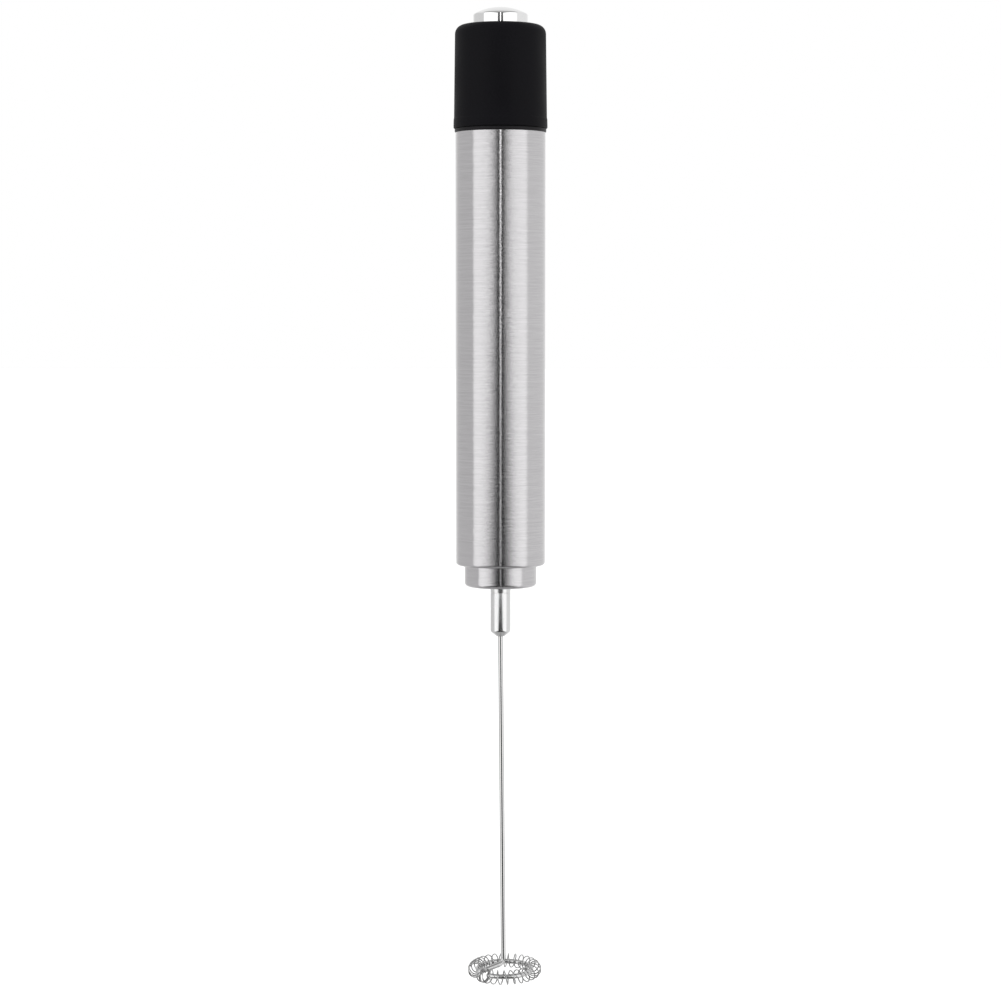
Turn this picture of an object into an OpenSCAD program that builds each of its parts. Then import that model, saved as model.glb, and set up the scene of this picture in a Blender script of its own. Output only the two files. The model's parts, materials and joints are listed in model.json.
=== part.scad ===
// Hand-held milk frother: a battery tube with a motor in its nose, which spins a wire
// hoop that carries a coil spring. The axis is Z, the button is at the top, and z = 0 is
// the lower end of the handle's straight wall, just above its rolled edge.

/* [Handle] */
// Outer diameter of the steel handle tube
grip_d = 24; // [23.8:0.1:24.4]
// Length of the tube's straight wall
grip_len = 115; // [114.5:0.5:118]
// Wall thickness of the tube
tube_wall = 0.6; // [0.5:0.05:0.65]
// Outer radius of the rolled edge at the tube's lower end
lip_r = 0.8; // [0.75:0.05:0.95]
// Height of the rubber ring between the tube and the cap
seal_h = 1; // [0.8:0.1:1.4]

/* [Battery cap] */
// Height of the cap
cap_h = 27.3; // [27:0.1:28.5]
// Diameter of the cap's side at its top
cap_top_d = 24.2; // [24:0.1:24.6]
// Diameter of the cap's side just above its rim
cap_skirt_d = 24.8; // [24.6:0.1:25]
// Diameter of the cap's rim
cap_rim_d = 25.1; // [25:0.1:25.6]
// Height of the rim
cap_rim_h = 2.8; // [2:0.1:4]
// Radius of the cap's top edge
cap_edge_r = 2.4; // [1.5:0.1:2.8]

/* [Button] */
// Diameter of the push button
button_d = 14.5; // [14:0.1:14.9]
// Height of the button's edge above the cap
button_rise = 2.8; // [2.6:0.1:3.8]
// Height of the button's dome above its edge
button_dome = 1.9; // [0.8:0.1:2.1]
// Travel of the button
button_travel = 1.6; // [1.2:0.1:1.6]

/* [Nose] */
// Diameter of the collar under the tube
collar_d = 19.4; // [19:0.1:19.6]
// How far the collar stands out below the tube
collar_drop = 5.8; // [5.5:0.1:7]
// Radius of the collar's lower edge
collar_edge_r = 1.1; // [0.8:0.1:1.3]
// Diameter of the chuck that joins the whisk to the motor shaft
chuck_d = 5.4; // [5.3:0.1:5.5]
// Length of the chuck's straight side below the collar
chuck_drop = 12.3; // [11:0.1:14]
// Height of the chuck's cone
chuck_cone_h = 1.3; // [1:0.1:2]

/* [Whisk] */
// Diameter of the whisk's main wire
wire_d = 1.35; // [1.3:0.05:1.4]
// Length of the straight wire from the chuck to the elbow
wire_len = 89.8; // [70:0.1:95]
// How far the hoop lies below the elbow
hoop_drop = 1.7; // [1.4:0.1:2.4]
// Radius of the hoop at the wire's centre
hoop_r = 7.25; // [7.2:0.05:7.3]
// Sideways shift of the hoop's centre from the wire's axis
hoop_shift = 0.3; // [0:0.05:0.6]
// Lean of the whole whisk in the chuck, in degrees
whisk_lean = 0.5; // [0:0.1:1]
// Tilt of the hoop towards the front, in degrees
hoop_tilt = 2.5; // [0:0.5:4]
// Direction of the arm from the elbow to the hoop, in degrees
arm_turn = -157; // [-180:1:-90]
// Outer diameter of the coil that sits on the hoop
coil_d = 4.1; // [4:0.05:4.2]
// Diameter of the coil's wire
coil_wire_d = 0.33; // [0.28:0.01:0.33]
// Number of turns in the coil
coil_turns = 29; // [24:1:30]

/* [Hidden] */
$fn = 96;

// Small allowances
cut = 1;            // how far a cutting shape runs past what it cuts
fit = 0.05;         // radial gap of a sliding or turning fit
sheet = 0.3;        // thickness of the brass contacts
seat = 0.05;        // gap between two stops that meet at the end of a travel

// Handle tube and nose
tube_r = grip_d / 2;
tube_in_r = tube_r - tube_wall;
guide_r = tube_in_r - fit;
z_lip = -lip_r;
z_lip_top = z_lip + tube_wall;
collar_r = collar_d / 2;
collar_wall = 0.5;
collar_in_r = collar_r - collar_wall;
collar_flange_r = tube_in_r - 0.3;
nose_bore_r = chuck_d / 2 + 0.4;
z_nose = z_lip - collar_drop;
z_nose_floor = z_nose + collar_wall;
z_flange_top = z_lip_top + collar_wall;
seal_lip_h = 1;
seal_lip_r = collar_in_r - 3.2;

// Motor, a flat-sided can of the common small size
motor_r = 10.05;
motor_flat = 7.55;
can_wall = 0.8;
bell_wall = 1.2;
mount_floor = 2.1;
shaft_r = 1;
bush_r = 2.5;
boss_r = 3.05;
boss_h = 1.6;
z_motor = z_flange_top + mount_floor;
z_can_top = z_motor + 20;
z_bell_roof = z_can_top + 2.9;
z_bell_top = z_bell_roof + 2.2;
z_front_bush_top = z_motor + 1.8;
z_shaft_top = z_bell_top + 0.3;
magnet_in_r = 6.7;
z_core = z_motor + 4.8;
core_h = 10;
core_r = 6.2;
hub_r = 2.6;
pole_w = 2.2;
shoe_in_r = 5.1;
shoe_gap = 1.6;
poles = 3;
winding_w = 6.2;
winding_over = 1.6;
winding_gap = 0.2;
z_commutator = z_can_top - 2.4;
commutator_r = 2.3;
commutator_h = 4.8;
washer_h = 0.35;
brush_w = 1.8;
brush_y = [commutator_r + fit, commutator_r + 1.6];
z_brush = [z_can_top + 0.2, z_can_top + 2];
leaf = 0.25;
tab = 0.4;
tab_w = 2.4;
tab_y = 5.4;

// Two standard size AA cells in line, in a plastic carrier
cell_r = 7.1;
cell_h = 50.5;
nub_r = 2.75;
nub_h = 1;
carrier_floor = 2;
carrier_in_r = 7.6;
carrier_r = 9.1;
z_carrier = z_bell_top + 1.2;
z_carrier_floor_top = z_carrier + carrier_floor;
z_lower_cell = z_carrier_floor_top + 1;
z_upper_cell = z_lower_cell + cell_h;
z_cell_top = z_upper_cell + cell_h;
z_carrier_top = z_cell_top - 0.7;
neck_r = 10.2;
plug_h = 8;
rib_h = 2;
z_rib = (z_carrier + grip_len) / 2;
strip_w = 3;
strip_y = carrier_r + 0.02;
strip_slot_w = strip_w + 0.3;
strip_slot_y = carrier_r + 0.42;
o_ring_d = 0.9;

// Battery cap, from the tube's top upwards
seal_r = tube_r + 0.22;
z_cap = grip_len + seal_h;
z_cap_top = z_cap + cap_h;
cap_roof = 2;
z_roof = z_cap_top - cap_roof;
z_contacts_top = z_roof - 3.7;
z_base_top = z_contacts_top - sheet;
cap_bore_r = neck_r + 0.4;
cap_mid_r = 9.85;
cap_small_r = 9;
cap_side_r = [cap_rim_d / 2, cap_skirt_d / 2, cap_top_d / 2];
cap_chamfer = 0.3;
z_cap_step = z_carrier_top + 0.6;
z_o_ring = z_cap + 9;
o_ring_r = cap_bore_r - fit - o_ring_d / 2;

// Switch in the cap's head
base_h = 2.7;
base_web = 1.2;
base_recess_r = 5.5;
stem_r = 1.6;
stem_hole_r = stem_r + 0.1;
contact_in = [3.2, 5];
ring_in_r = 6;
bridge_r = 7.3;
z_bridge = z_contacts_top + button_travel + seat;
z_bridge_top = z_bridge + sheet;
rivet_w = 1.2;
z_spring_seat = z_base_top - base_web;
battery_spring_d = 0.7;
battery_spring_r = 4.1;
return_spring_d = 0.3;
return_spring_r = 8.1;

// Push button
button_r = button_d / 2;
button_hole_r = button_r + 0.08;
button_flange_r = button_r + 1.15;
button_bore_r = button_r - 1.25;
z_button_edge = z_cap_top + button_rise;
z_button_top = z_button_edge + button_dome;
z_flange = [z_roof - 1.1, z_roof - seat];
z_button_roof = z_button_edge - 1.8;
plug_thick = 2;
shoulder_r = 2.6;
clip_h = 0.5;
groove_r = 1.25;
z_clip = z_spring_seat - seat - clip_h;
z_stem_end = z_clip - 0.35;
dome_r = (pow(button_r, 2) + pow(button_dome, 2)) / (2 * button_dome);

// Chuck and whisk
chuck_r = chuck_d / 2;
chuck_tip_r = 1.15;
z_chuck_top = z_nose + 4.8;
z_chuck_cone = z_nose - chuck_drop;
z_chuck_tip = z_chuck_cone - chuck_cone_h;
shaft_grip = 7.6;
wire_grip = 7;
groove = 0.12;
z_groove = z_nose - 1.7;
wire_r = wire_d / 2;
wire_sides = 12;
elbow_r = 1.8;
elbow = [0, 0, -wire_len];
hoop_centre = [hoop_shift, 0, -wire_len - hoop_drop];
hoop_run_in = 1.3;                  // tangent length of the bend from the arm to the hoop
hoop_lead = 10.5;                   // angle that this bend takes along the hoop
hoop_start = arm_turn - hoop_lead;
hoop_end = arm_turn + 29 - 360;       // the hoop stops short of the arm
coil_run_r = hoop_r + 0.8;          // radius of the ring that the coil's centre follows
coil_r = (coil_d - coil_wire_d) / 2;
coil_gap = 10.5;                    // angle on each side of the arm that the coil leaves free
lead_turns = 1.5;                   // open turns between the coil's first end and its close turns
close_turns = 1.5;                  // close-wound turns, where the coil grips the hoop's free end
close_pitch = 3.5;                  // their pitch, in degrees along the hoop
open_pitch = (360 - 2 * coil_gap - close_turns * close_pitch) / (coil_turns - close_turns);
coil_steps = 14;

// ---- Shapes that repeat -------------------------------------------------------------

// A round bar between two heights
module bar(r, z0, z1) {
    translate([0, 0, z0]) cylinder(r = r, h = z1 - z0);
}

// A round tube between two heights
module pipe(r_out, r_in, z0, z1) {
    difference() {
        bar(r_out, z0, z1);
        bar(r_in, z0 - cut, z1 + cut);
    }
}

// A box given by its ranges in x, y and z
module block(x, y, z) {
    translate([x[0], y[0], z[0]]) cube([x[1] - x[0], y[1] - y[0], z[1] - z[0]]);
}

// A rectangle given by its ranges in radius and height
module section(r, z) {
    translate([r[0], z[0]]) square([r[1] - r[0], z[1] - z[0]]);
}

// A quarter of a disc
module quarter(r) {
    intersection() {
        circle(r = r);
        square(r);
    }
}

// Half section of a bar whose lower edge is rounded
module round_foot(r, edge, z0, z1) {
    section([0, r], [z0 + edge, z1]);
    section([0, r - edge], [z0, z0 + edge]);
    translate([r - edge, z0 + edge]) mirror([0, 1]) quarter(edge);
}

// Outline of the motor seen along its axis: a disc with two flats
module motor_outline(inset) {
    intersection() {
        circle(r = motor_r - inset);
        square([2 * motor_r, 2 * (motor_flat - inset)], center = true);
    }
}

// The same shape at each pole of the armature
module at_poles() {
    for (i = [0:poles - 1]) rotate([0, 0, i * 360 / poles]) children();
}

// The same shape on the +Y and the -Y side
module both_sides() {
    children();
    mirror([0, 1, 0]) children();
}

// ---- Wires --------------------------------------------------------------------------

function unit(v) = v / norm(v);

// Direction of travel at each point of a path
function headings(path) = [
    for (i = [0:len(path) - 1])
        unit(path[min(i + 1, len(path) - 1)] - path[max(i - 1, 0)])
];

// Any direction square to v
function square_to(v) = unit(cross(v, abs(v[2]) < 0.9 ? [0, 0, 1] : [1, 0, 0]));

// A direction square to each heading, carried along the path without twist
function carried(t) = [
    for (i = 0, s = square_to(t[0]); i < len(t);
         i = i + 1, s = i < len(t) ? unit(s - (s * t[i]) * t[i]) : s) s
];

// A round wire along a path, with flat ends
module wire(path, d, sides) {
    t = headings(path);
    s = carried(t);
    last = len(path) - 1;
    points = [
        for (i = [0:last], k = [0:sides - 1])
            path[i] + d / 2 * (cos(360 * k / sides) * s[i] + sin(360 * k / sides) * cross(t[i], s[i]))
    ];
    skin = [
        for (i = [0:last - 1], k = [0:sides - 1])
            let (m = (k + 1) % sides)
                each [
                    [i * sides + k, (i + 1) * sides + k, (i + 1) * sides + m],
                    [i * sides + k, (i + 1) * sides + m, i * sides + m]
                ]
    ];
    foot = [[for (k = [0:sides - 1]) k]];
    head = [[for (k = [sides - 1:-1:0]) last * sides + k]];
    polyhedron(points = points, faces = concat(skin, foot, head), convexity = 10);
}

// Centre line of a plain helical spring between two heights
function helix(r, z0, z1, turns, steps) = [
    for (i = [0:turns * steps])
        [r * cos(360 * i / steps), r * sin(360 * i / steps), z0 + (z1 - z0) * i / (turns * steps)]
];

// Round bend of radius r at a corner, from heading a to heading b
function bend(corner, a, b, r, steps) =
    let (
        turn = acos(a * b),
        n = unit(b - (a * b) * a),
        centre = corner - r * tan(turn / 2) * a + r * n
    )
        [for (i = [0:steps]) centre + r * (sin(turn * i / steps) * a - cos(turn * i / steps) * n)];

// Turns a direction of the flat ring into the tilted ring
function tilted(v) = [
    v[0],
    v[1] * cos(hoop_tilt) - v[2] * sin(hoop_tilt),
    v[1] * sin(hoop_tilt) + v[2] * cos(hoop_tilt)
];

// Point on the hoop at a compass angle, and the heading there when it is followed clockwise
function on_hoop(a) = hoop_centre + tilted([hoop_r * cos(a), hoop_r * sin(a), 0]);
function along_hoop(a) = tilted([sin(a), -cos(a), 0]);

// The whisk's main wire: straight down, round the elbow, out along the arm, round the hoop
function whisk_path() =
    let (
        corner = on_hoop(hoop_start) - hoop_run_in * along_hoop(hoop_start),
        down = [0, 0, -1],
        arm = unit(corner - elbow),
        round = along_hoop(hoop_start),
        turn = acos(arm * round),
        steps = 48
    )
        concat(
            [[0, 0, wire_grip]],
            bend(elbow, down, arm, elbow_r, 8),
            bend(corner, arm, round, hoop_run_in / tan(turn / 2), 8),
            [for (i = [1:steps]) on_hoop(hoop_start + (hoop_end - hoop_start) * i / steps)]
        );

// Angle along the hoop after a number of turns, with a few turns wound close
function lay(turns) =
    let (close = max(0, min(turns - lead_turns, close_turns)))
        (turns - close) * open_pitch + close * close_pitch;

// Point on the coil after a number of turns
function on_coil(turns) =
    let (
        a = arm_turn + coil_gap + lay(turns),
        r = coil_run_r - coil_r * cos(360 * turns)
    )
        hoop_centre + tilted([r * cos(a), r * sin(a), coil_r * sin(360 * turns)]);

// Puts the whisk's own frame at the chuck's tip, with its lean
module at_chuck_tip() {
    translate([0, 0, z_chuck_tip]) rotate([0, -whisk_lean, 0]) children();
}

// ---- Handle -------------------------------------------------------------------------

// Steel tube with its lower edge rolled inwards
module handle_tube() {
    color("silver")
        rotate_extrude()
            difference() {
                round_foot(tube_r, lip_r, z_lip, grip_len);
                round_foot(tube_in_r, lip_r - tube_wall, z_lip_top, grip_len + cut);
                section([0, collar_r + 0.1], [z_lip - cut, z_lip_top + cut]);
            }
}

// Pressed steel nose that hangs on the tube's rolled edge by its flange
module nose_collar() {
    color("gainsboro")
        rotate_extrude()
            difference() {
                union() {
                    round_foot(collar_r, collar_edge_r, z_nose, z_flange_top);
                    section([0, collar_flange_r], [z_lip_top, z_flange_top]);
                }
                round_foot(collar_in_r, collar_edge_r - collar_wall, z_nose_floor, z_flange_top + cut);
                section([0, nose_bore_r], [z_nose - cut, z_nose_floor + cut]);
            }
}

// Rubber lip seal that keeps milk out of the nose
module nose_seal() {
    color("dimgray")
        pipe(seal_lip_r, chuck_r + fit, z_nose_floor, z_nose_floor + seal_lip_h);
}

// Plastic seat that fills the collar and holds the motor
module motor_mount() {
    color("darkslategray")
        rotate_extrude()
            difference() {
                union() {
                    round_foot(collar_in_r, collar_edge_r - collar_wall, z_nose_floor, z_motor);
                    section([0, guide_r], [z_flange_top, z_carrier]);
                }
                section([0, motor_r + fit], [z_motor, z_carrier + cut]);
                section([0, nose_bore_r], [z_nose_floor - cut, z_motor + cut]);
                section([0, seal_lip_r], [z_nose_floor - cut, z_nose_floor + seal_lip_h]);
            }
}

// ---- Motor --------------------------------------------------------------------------

// Drawn steel can with a boss for the front bush
module motor_can() {
    color("lightgray")
        difference() {
            union() {
                translate([0, 0, z_motor]) linear_extrude(z_can_top - z_motor) motor_outline(0);
                bar(boss_r, z_motor - boss_h, z_motor + can_wall);
            }
            translate([0, 0, z_motor + can_wall]) linear_extrude(z_can_top) motor_outline(can_wall);
            bar(bush_r, z_motor - boss_h - cut, z_motor + can_wall + cut);
        }
}

// Plastic end of the motor, which carries the brushes and the rear bush
module motor_end_bell() {
    color("white")
        difference() {
            translate([0, 0, z_can_top]) linear_extrude(z_bell_top - z_can_top) motor_outline(0);
            translate([0, 0, z_can_top - cut])
                linear_extrude(z_bell_roof - z_can_top + cut) motor_outline(bell_wall);
            bar(bush_r, z_bell_roof - cut, z_bell_top + cut);
            both_sides()
                block([-tab_w / 2, tab_w / 2], [tab_y, tab_y + tab], [z_bell_roof - cut, z_bell_top + cut]);
        }
}

// Two ferrite magnets against the can's round sides
module motor_magnets() {
    color("darkgray")
        intersection() {
            pipe(motor_r - can_wall, magnet_in_r, z_core - 1, z_core + core_h + 1);
            union() {
                for (side = [-1, 1])
                    translate([side * motor_r, 0, z_core + core_h / 2])
                        cube([motor_r, 2 * motor_flat - 2.2, 2 * core_h], center = true);
            }
        }
}

// Sintered bush in the can's boss
module front_bush() {
    color("peru")
        pipe(bush_r, shaft_r + fit / 2, z_motor - boss_h, z_front_bush_top);
}

// Sintered bush in the end bell
module rear_bush() {
    color("peru")
        pipe(bush_r, shaft_r + fit / 2, z_bell_roof, z_bell_top);
}

// Carbon brushes on bent brass leaves
module motor_brushes() {
    color("darkgoldenrod")
        both_sides() {
            block([-brush_w / 2, brush_w / 2], brush_y, z_brush);
            block([-tab_w / 2, tab_w / 2], [brush_y[1], brush_y[1] + leaf], [z_brush[0], z_bell_roof]);
            block([-tab_w / 2, tab_w / 2], [brush_y[1], tab_y], [z_bell_roof - leaf, z_bell_roof]);
        }
}

// Tabs that lead the current out of the motor, one to the strip and one to the lower contact
module motor_terminals() {
    z_foot = z_bell_roof - 3 * leaf;
    color("gold") {
        block([-tab_w / 2, tab_w / 2], [tab_y, tab_y + tab], [z_foot, z_carrier - 2 * sheet]);
        block([-tab_w / 2, tab_w / 2], [-tab_y - tab, -tab_y], [z_foot, z_carrier_floor_top]);
    }
}

// Steel shaft through the motor and into the chuck
module motor_shaft() {
    color("silver")
        bar(shaft_r, z_chuck_top - shaft_grip, z_shaft_top);
}

// Laminated iron core with three poles
module armature_core() {
    pole_end = (shoe_in_r + core_r) / 2;
    color("slategray")
        translate([0, 0, z_core])
            linear_extrude(core_h)
                difference() {
                    union() {
                        circle(r = hub_r);
                        at_poles()
                            translate([hub_r / 2, -pole_w / 2]) square([pole_end - hub_r / 2, pole_w]);
                        difference() {
                            circle(r = core_r);
                            circle(r = shoe_in_r);
                            at_poles()
                                translate([-2 * core_r, -shoe_gap / 2]) square([2 * core_r, shoe_gap]);
                        }
                    }
                    circle(r = shaft_r);
                }
}

// Copper wire wound round each pole
module armature_windings() {
    z = [z_core - winding_over, z_core + core_h + winding_over];
    color("chocolate")
        intersection() {
            pipe(shoe_in_r - fit, hub_r + fit, z[0], z[1]);
            at_poles()
                difference() {
                    block([0, core_r], [-winding_w / 2, winding_w / 2], z);
                    block([-cut, core_r + cut], [-pole_w / 2, pole_w / 2], [z_core, z_core + core_h]);
                    rotate([0, 0, 180 / poles])
                        block([-core_r, core_r], [-winding_gap / 2, core_r], [z[0] - cut, z[1] + cut]);
                    rotate([0, 0, -180 / poles])
                        block([-core_r, core_r], [-core_r, winding_gap / 2], [z[0] - cut, z[1] + cut]);
                }
        }
}

// Copper commutator with three slots
module commutator() {
    z = [z_commutator, z_commutator + commutator_h];
    color("orange")
        difference() {
            pipe(commutator_r, shaft_r, z[0], z[1]);
            at_poles()
                block([commutator_r - 0.5, commutator_r + cut], [-0.15, 0.15], [z[0] - cut, z[1] + cut]);
        }
}

// Washers that take up the shaft's end play
module thrust_washers() {
    color("ivory") {
        pipe(2 * shaft_r, shaft_r + fit, z_front_bush_top + seat, z_front_bush_top + seat + washer_h);
        pipe(2 * shaft_r, shaft_r + fit, z_bell_roof - seat - washer_h, z_bell_roof - seat);
    }
}

// ---- Battery carrier ----------------------------------------------------------------

// Plastic tube that holds both cells and closes the handle's upper end
module battery_carrier() {
    color("black")
        difference() {
            union() {
                bar(guide_r, z_carrier, z_carrier_floor_top);
                bar(carrier_r, z_carrier, z_carrier_top);
                bar(guide_r, z_rib, z_rib + rib_h);
                bar(guide_r, grip_len - plug_h, grip_len);
                bar(neck_r, grip_len - cut, z_carrier_top);
            }
            bar(carrier_in_r, z_carrier_floor_top, z_carrier_top + cut);
            translate([0, 0, z_o_ring])
                rotate_extrude()
                    section([o_ring_r - o_ring_d / 2, neck_r + cut], [-0.55, 0.55]);
            block([-strip_slot_w / 2, strip_slot_w / 2], [carrier_r, strip_slot_y],
                  [z_carrier - cut, z_carrier_top + cut]);
            block([-tab_w / 2 - 0.1, tab_w / 2 + 0.1], [-tab_y - tab - 0.1, -tab_y + 0.1],
                  [z_carrier - cut, z_carrier_floor_top + cut]);
        }
}

// Pressed brass plate under the lower cell
module lower_contact() {
    raised = z_lower_cell - sheet;
    color("gold")
        rotate_extrude()
            polygon([
                [0, raised], [2.2, raised], [3.2, z_carrier_floor_top], [6.5, z_carrier_floor_top],
                [6.5, z_carrier_floor_top + sheet], [3.4, z_carrier_floor_top + sheet],
                [2.4, z_lower_cell], [0, z_lower_cell]
            ]);
}

// Brass strip that runs up the carrier to the cap's contact ring
module contact_strip() {
    x = [-strip_w / 2, strip_w / 2];
    color("goldenrod") {
        block(x, [tab_y, strip_y + sheet], [z_carrier - 2 * sheet, z_carrier - sheet]);
        block(x, [strip_y, strip_y + sheet], [z_carrier - 2 * sheet, z_carrier_top + sheet]);
        block(x, [carrier_in_r + 0.6, 9.9], [z_carrier_top, z_carrier_top + sheet]);
    }
}

// Size AA cell, its nub down
module cell(z) {
    edge = 0.4;
    rotate_extrude()
        polygon([
            [0, z], [nub_r - 0.2, z], [nub_r, z + 0.2], [nub_r, z + nub_h],
            [cell_r - edge, z + nub_h], [cell_r, z + nub_h + edge],
            [cell_r, z + cell_h - edge], [cell_r - edge, z + cell_h], [0, z + cell_h]
        ]);
}

module lower_cell() {
    color("steelblue") cell(z_lower_cell);
}

module upper_cell() {
    color("steelblue") cell(z_upper_cell);
}

// Rubber ring between the tube and the cap
module seal_ring() {
    color("dimgray")
        pipe(seal_r, neck_r, grip_len, z_cap);
}

// Rubber ring in the carrier's neck that grips the cap
module carrier_o_ring() {
    color("black")
        translate([0, 0, z_o_ring])
            rotate_extrude()
                translate([o_ring_r, 0]) circle(d = o_ring_d);
}

// ---- Cap and switch -----------------------------------------------------------------

// Black plastic cap, pulled off upwards to change the cells
module battery_cap() {
    z_rim = z_cap + cap_rim_h;
    z_edge = z_cap_top - cap_edge_r;
    color("black")
        rotate_extrude()
            difference() {
                union() {
                    polygon([
                        [0, z_cap], [cap_side_r[0] - cap_chamfer, z_cap],
                        [cap_side_r[0], z_cap + cap_chamfer],
                        [cap_side_r[0] - 0.04, z_rim - 0.5], [cap_side_r[1], z_rim],
                        [cap_side_r[2], z_edge], [0, z_edge]
                    ]);
                    section([0, cap_side_r[2] - cap_edge_r], [z_edge, z_cap_top]);
                    translate([cap_side_r[2] - cap_edge_r, z_edge]) quarter(cap_edge_r);
                }
                section([0, cap_bore_r], [z_cap - cut, z_cap_step]);
                section([0, cap_mid_r], [z_cap - cut, z_contacts_top]);
                section([0, cap_small_r], [z_cap - cut, z_roof]);
                section([0, button_hole_r], [z_cap - cut, z_cap_top + cut]);
            }
}

// Plastic plate that carries the switch contacts
module switch_base() {
    color("darkolivegreen")
        difference() {
            bar(cap_mid_r - sheet, z_base_top - base_h, z_base_top);
            bar(base_recess_r, z_base_top - base_h - cut, z_spring_seat);
            bar(stem_hole_r, z_spring_seat - cut, z_base_top + cut);
            block([contact_in[0], contact_in[0] + rivet_w], [-rivet_w / 2, rivet_w / 2],
                  [z_spring_seat - cut, z_base_top + cut]);
        }
}

// Brass ring whose skirt reaches down to the strip on the carrier
module contact_ring() {
    color("gold")
        rotate_extrude() {
            section([ring_in_r, cap_mid_r], [z_base_top, z_contacts_top]);
            section([cap_mid_r - sheet, cap_mid_r], [z_carrier_top + sheet + 0.1, z_contacts_top]);
        }
}

// Brass ring round the stem, joined through the base to the battery spring
module cap_contact() {
    color("gold") {
        pipe(contact_in[1], contact_in[0], z_base_top, z_contacts_top);
        block([contact_in[0] + 0.1, contact_in[0] + rivet_w - 0.1], [-rivet_w / 2 + 0.1, rivet_w / 2 - 0.1],
              [z_spring_seat, z_contacts_top]);
    }
}

// Spring that presses the cells down
module battery_spring() {
    color("silver")
        wire(helix(battery_spring_r, z_cell_top + seat + battery_spring_d / 2,
                   z_spring_seat - battery_spring_d / 2, 3, 20), battery_spring_d, 8);
}

// Spring that lifts the button
module return_spring() {
    color("silver")
        wire(helix(return_spring_r, z_contacts_top + return_spring_d / 2,
                   z_flange[0] - return_spring_d / 2, 3, 32), return_spring_d, 6);
}

// Chromed push button with a flange that keeps it under the cap's roof
module push_button() {
    color("gainsboro")
        difference() {
            union() {
                intersection() {
                    bar(button_r, z_flange[0], z_button_top + cut);
                    translate([0, 0, z_button_top - dome_r]) sphere(r = dome_r, $fn = 192);
                }
                bar(button_flange_r, z_flange[0], z_flange[1]);
            }
            bar(button_bore_r, z_flange[0] - cut, z_button_roof);
        }
}

// Plastic stem pressed into the button
module button_stem() {
    color("ivory")
        difference() {
            union() {
                bar(button_bore_r, z_button_roof - plug_thick, z_button_roof);
                bar(shoulder_r, z_bridge_top, z_button_roof);
                bar(stem_r, z_stem_end, z_button_roof);
            }
            pipe(stem_r + cut, groove_r, z_clip, z_clip + clip_h);
        }
}

// Brass disc on the stem that closes the circuit when the button is down
module bridge_contact() {
    color("goldenrod")
        pipe(bridge_r, stem_r, z_bridge, z_bridge_top);
}

// Spring clip that keeps the stem in the base
module stem_clip() {
    color("slategray")
        difference() {
            pipe(shoulder_r, groove_r, z_clip, z_clip + clip_h);
            block([0, shoulder_r + cut], [-0.8, 0.8], [z_clip - cut, z_clip + clip_h + cut]);
        }
}

// ---- Chuck and whisk ----------------------------------------------------------------

// Turned coupling between the motor shaft and the whisk
module chuck() {
    color("gainsboro")
        difference() {
            union() {
                bar(chuck_r, z_chuck_cone, z_chuck_top);
                translate([0, 0, z_chuck_tip])
                    cylinder(r1 = chuck_tip_r, r2 = chuck_r, h = chuck_cone_h);
            }
            bar(shaft_r, z_chuck_top - shaft_grip, z_chuck_top + cut);
            bar(wire_r, z_chuck_tip - cut, z_chuck_tip + wire_grip);
            pipe(chuck_r + cut, chuck_r - groove, z_groove - groove, z_groove + groove);
        }
}

// Straight wire, elbow, arm and hoop, bent from one length of steel wire
module whisk_wire() {
    color("silver")
        at_chuck_tip() wire(whisk_path(), wire_d, wire_sides);
}

// Coil of thin wire threaded on the hoop
module whisk_coil() {
    color("silver")
        at_chuck_tip()
            wire([for (i = [0:coil_turns * coil_steps]) on_coil(i / coil_steps)], coil_wire_d, 6);
}

handle_tube();
nose_collar();
nose_seal();
motor_mount();
motor_can();
motor_end_bell();
motor_magnets();
front_bush();
rear_bush();
motor_brushes();
motor_terminals();
battery_carrier();
lower_contact();
contact_strip();
lower_cell();
upper_cell();
seal_ring();
carrier_o_ring();
battery_cap();
switch_base();
contact_ring();
cap_contact();
battery_spring();
return_spring();
push_button();
button_stem();
bridge_contact();
stem_clip();
motor_shaft();
armature_core();
armature_windings();
commutator();
thrust_washers();
chuck();
whisk_wire();
whisk_coil();
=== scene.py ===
"""Looks of the milk frother: finer pieces, materials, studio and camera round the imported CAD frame.

Everything is in metres in the CAD frame: Z is the handle's axis and z = 0 is the lower end of the
handle's straight wall. The object's own lengths that the frame doesn't give are written in
millimetres. outline() and from_chuck() turn them into metres, and elsewhere MM does.
"""
import json
import math

import bpy
from mathutils import Matrix, Vector


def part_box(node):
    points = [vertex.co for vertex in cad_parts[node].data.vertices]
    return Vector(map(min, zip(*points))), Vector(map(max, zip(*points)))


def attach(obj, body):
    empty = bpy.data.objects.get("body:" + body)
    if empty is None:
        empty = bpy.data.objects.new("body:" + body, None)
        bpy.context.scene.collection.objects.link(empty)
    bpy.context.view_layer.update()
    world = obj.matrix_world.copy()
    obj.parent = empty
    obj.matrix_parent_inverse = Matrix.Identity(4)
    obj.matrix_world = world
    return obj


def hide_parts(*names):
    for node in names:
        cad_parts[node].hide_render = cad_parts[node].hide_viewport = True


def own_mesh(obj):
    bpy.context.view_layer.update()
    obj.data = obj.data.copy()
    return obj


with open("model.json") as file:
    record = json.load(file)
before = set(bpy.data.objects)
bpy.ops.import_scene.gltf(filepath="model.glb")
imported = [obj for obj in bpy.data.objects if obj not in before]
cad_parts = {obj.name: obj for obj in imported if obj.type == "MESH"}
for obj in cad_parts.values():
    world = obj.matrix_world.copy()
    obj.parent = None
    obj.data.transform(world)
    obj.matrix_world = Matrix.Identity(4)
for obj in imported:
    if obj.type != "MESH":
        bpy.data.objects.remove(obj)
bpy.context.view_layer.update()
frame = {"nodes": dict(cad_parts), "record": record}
MM = 0.001


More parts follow.
